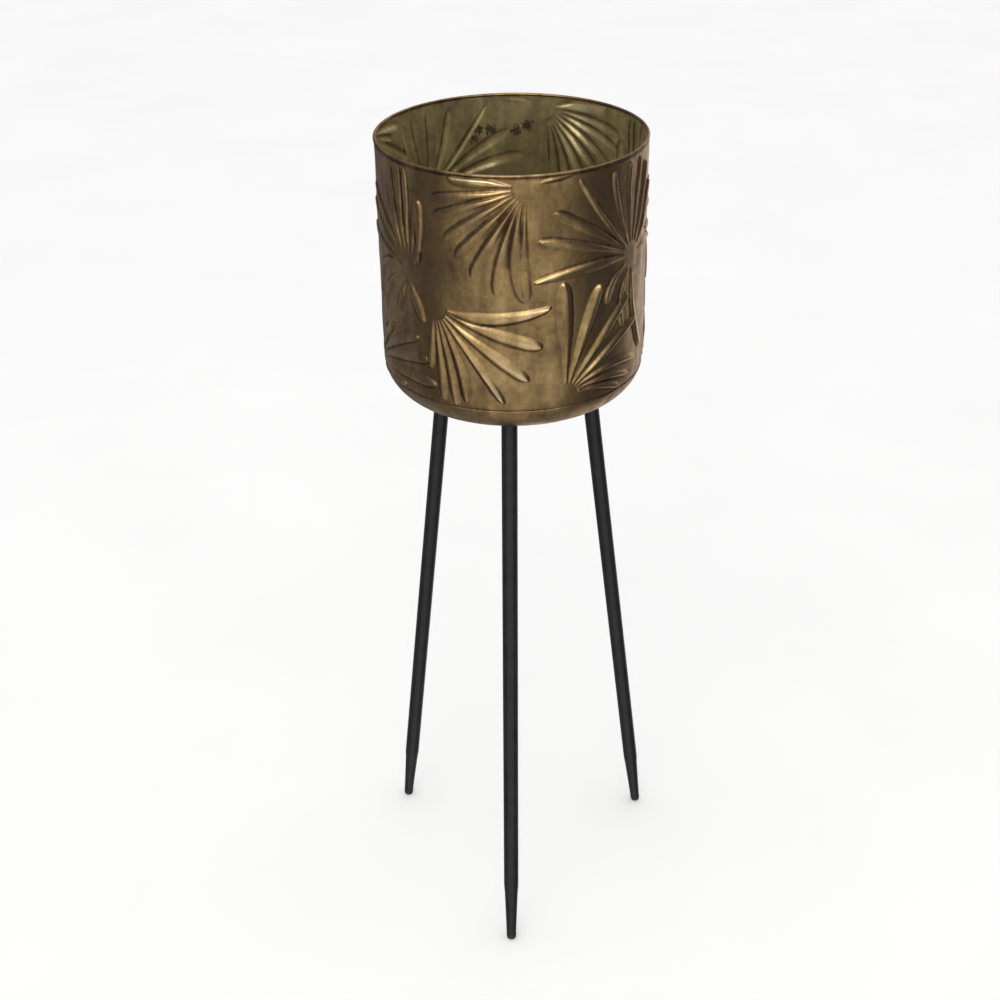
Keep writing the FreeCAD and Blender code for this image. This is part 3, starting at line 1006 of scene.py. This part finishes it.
def foot_plastic():
    """Matte black moulded plastic, greyer where it is worn."""
    made, shade = material("foot_plastic")
    spot = shade.place()
    texture = shade.noise(spot, 1900, 3, 0.6)
    wear = shade.noise(spot, 260, 4, 0.6)
    colour = shade.ramp(wear, [
        (0.35, (0.014, 0.014, 0.015)),
        (0.75, (0.04, 0.039, 0.038)),
    ])
    roughness = shade.spread(wear, 0.3, 0.7, 0.55, 0.75)
    normal = shade.bump(texture, 0.05 * MM, 0.5)
    shade.surface(base_color=colour, roughness=roughness, normal=normal)
    return made


def paint(piece, finish):
    """Gives a piece that was made here its one material."""
    piece.data.materials.clear()
    piece.data.materials.append(finish)


def paint_node(node, finish):
    """Gives a piece carried over from the frame its material."""
    for slot in frame["nodes"][node].material_slots:
        slot.material = finish


# ---------------------------------------------------------------- studio

# The camera's place round the pot's axis, in metres and degrees, and how far it is turned from looking
# straight at that axis. Its lens is given as focal length over the picture's width.
CAMERA_DISTANCE = 1.5397
CAMERA_HEIGHT = 1.3453
CAMERA_AZIMUTH = 3.078
CAMERA_PITCH = 29.567
CAMERA_YAW = 0.594
CAMERA_ROLL = -0.869
LENS_PER_WIDTH = 1.65713
SENSOR_WIDTH = 36

FLOOR_RADII = np.concatenate([[0], np.geomspace(0.2, 30, 24)])
FLOOR_GAP = 0.2 * MM
FLOOR_COLOURS = (
    (0.3, (0.93, 0.93, 0.93)),
    (0.7, (0.96, 0.96, 0.96)),
)


def make_camera():
    """The camera, in front of the pot and looking down into it."""
    data = bpy.data.cameras.new("camera")
    data.sensor_width = SENSOR_WIDTH
    data.lens = SENSOR_WIDTH * LENS_PER_WIDTH
    camera = bpy.data.objects.new("camera", data)
    azimuth = math.radians(CAMERA_AZIMUTH)
    aim = Matrix.Rotation(azimuth + math.radians(CAMERA_YAW), 4, "Z")
    tilt = Matrix.Rotation(math.radians(90 - CAMERA_PITCH), 4, "X")
    roll = Matrix.Rotation(math.radians(CAMERA_ROLL), 4, "Z")
    away = Vector((math.sin(azimuth), -math.cos(azimuth), 0)) * CAMERA_DISTANCE
    place = Vector((POT_CENTRE.x, POT_CENTRE.y, 0)) + away
    place.z = CAMERA_HEIGHT
    camera.matrix_world = Matrix.Translation(place) @ aim @ tilt @ roll
    bpy.context.scene.collection.objects.link(camera)
    bpy.context.scene.camera = camera


def make_floor():
    """A plain pale studio floor, out past every view, that isn't seen in the metal."""
    floor = turned("studio_floor", [(radius, 0) for radius in FLOOR_RADII], Matrix.Identity(4), 64)
    floor.location.z = cad_low.z - FLOOR_GAP
    made, shade = material("studio_floor")
    speck = shade.noise(shade.place(), 3, 3)
    shade.surface(base_color=shade.ramp(speck, FLOOR_COLOURS), roughness=0.9)
    paint(floor, made)
    floor.visible_glossy = False


# What the metal reflects: each soft panel's middle azimuth and half width, its lowest and highest
# elevation, its colour and its strength.
Panel = namedtuple("Panel", "azimuth half_width low high colour strength")
REFLECTED_PANELS = (
    Panel(0, 48, -90, -22, (1.0, 0.97, 0.88), 0.46),
    Panel(0, 48, -22, 22, (1.0, 0.97, 0.89), 0.62),
    Panel(0, 50, 22, 38, (0.98, 0.97, 0.92), 1.0),
    Panel(0, 50, 38, 58, (0.97, 0.98, 0.96), 3.2),
    Panel(0, 180, 58, 90, (1.0, 0.97, 0.93), 1.0),
    Panel(0, 180, -90, -52, (1.0, 0.96, 0.90), 0.16),
    Panel(-125, 38, -60, 50, (0.95, 0.96, 1.0), 0.14),
    Panel(155, 32, -60, 60, (1.0, 0.93, 0.90), 0.72),
)
# How soft the panels' edges are: the lower and upper ones in degrees, the sides in the angle's cosine.
PANEL_SOFTNESS = 10
PANEL_SIDE_SOFTNESS = 0.14
ROOM = (0.062, 0.064, 0.092)
DOME = (1.0, 1.0, 1.0, 1)
BACKDROP = (0.97, 0.97, 0.97, 1)


def soft_step(shade, value, edge, softness):
    """0 where value is below edge by softness or more, 1 where it is above by as much, and soft between."""
    return shade.spread(value, edge - softness, edge + softness)


def panel_light(shade, panel, level, height):
    """How bright one panel is in each direction, from the direction along the ground and its height."""
    turn = math.radians(panel.azimuth)
    middle = (math.sin(turn), -math.cos(turn), 0)
    towards = shade.node("VectorMath", {0: level, 1: middle}, operation="DOT_PRODUCT").outputs["Value"]
    soft = math.sin(math.radians(PANEL_SOFTNESS))
    glow = panel.strength
    if panel.half_width < 180:
        side = math.cos(math.radians(panel.half_width))
        glow = shade.maths("MULTIPLY", soft_step(shade, towards, side, PANEL_SIDE_SOFTNESS), glow)
    if panel.low > -90:
        above_low = soft_step(shade, height, math.sin(math.radians(panel.low)), soft)
        glow = shade.maths("MULTIPLY", glow, above_low)
    if panel.high < 90:
        above_high = soft_step(shade, height, math.sin(math.radians(panel.high)), soft)
        glow = shade.maths("MULTIPLY", glow, shade.maths("SUBTRACT", 1, above_high))
    return shade.node("VectorMath", {0: panel.colour, "Scale": glow}, operation="SCALE").outputs[0]


def make_world():
    """A plain pale dome lights the scene; glossy surfaces see a darker studio with soft panels in it."""
    world = bpy.data.worlds.new("studio")
    world.use_nodes = True
    bpy.context.scene.world = world
    shade = Shader(world.node_tree)
    direction = shade.node("TexCoord").outputs["Generated"]
    flat = shade.node("VectorMath", {0: direction, 1: (1, 1, 0)}, operation="MULTIPLY").outputs[0]
    level = shade.node("VectorMath", {0: flat}, operation="NORMALIZE").outputs[0]
    height = shade.node("SeparateXYZ", {0: direction}).outputs["Z"]
    light = shade.node("CombineXYZ", dict(enumerate(ROOM))).outputs[0]
    for panel in REFLECTED_PANELS:
        shine = panel_light(shade, panel, level, height)
        light = shade.node("VectorMath", {0: light, 1: shine}, operation="ADD").outputs[0]
    ray = shade.node("LightPath").outputs
    dome = shade.mix(ray["Is Camera Ray"], DOME, BACKDROP)
    seen = shade.mix(ray["Is Glossy Ray"], dome, light)
    background = shade.node("Background", {0: seen, 1: 1.0})
    shade.node("OutputWorld", {0: background.outputs[0]})


def make_lamp(name, azimuth, elevation, distance, size, colour, power):
    """A soft square lamp, aimed at the pot."""
    data = bpy.data.lights.new(name, "AREA")
    data.shape = "SQUARE"
    data.size = size
    data.color = colour
    data.energy = power
    lamp = bpy.data.objects.new(name, data)
    turn, rise = math.radians(azimuth), math.radians(elevation)
    out = Vector((math.sin(turn) * math.cos(rise), -math.cos(turn) * math.cos(rise), math.sin(rise)))
    target = Vector((POT_CENTRE.x, POT_CENTRE.y, CORNER_CENTRE_HEIGHT))
    lamp.location = target + out * distance
    lamp.rotation_mode = "QUATERNION"
    lamp.rotation_quaternion = out.to_track_quat("Z", "Y")
    bpy.context.scene.collection.objects.link(lamp)


# ---------------------------------------------------------------- assembly

brass = antiqued_brass()
black = powder_coat()
zinc = zinc_plate("zinc_plate", dull=(0.46, 0.47, 0.49), bright=(0.66, 0.67, 0.69))
dark_zinc = zinc_plate("black_zinc_plate", dull=(0.09, 0.098, 0.11), bright=(0.15, 0.16, 0.175))
plastic = foot_plastic()

paint(make_pot_wall(), brass)
paint(make_bottom_pan(), brass)
paint_node("rim_wire", drawn_wire())
for side in SIDES:
    place = leg_place(side)
    paint(make_leg_tube(side, place), black)
    paint(make_foot_cap(side, place), plastic)
    paint(make_washer(side, place), dark_zinc)
    paint(make_stud(side, place), zinc)
    paint(make_insert(side, place), zinc)
    paint(make_weld(side, place), brass)
    paint_node(f"{side}_leg_seat", black)

make_camera()
make_floor()
make_world()
make_lamp("key", azimuth=-10, elevation=48, distance=2.2, size=1.4, colour=(1.0, 0.96, 0.9), power=8)
bpy.context.scene.view_settings.view_transform = "Standard"
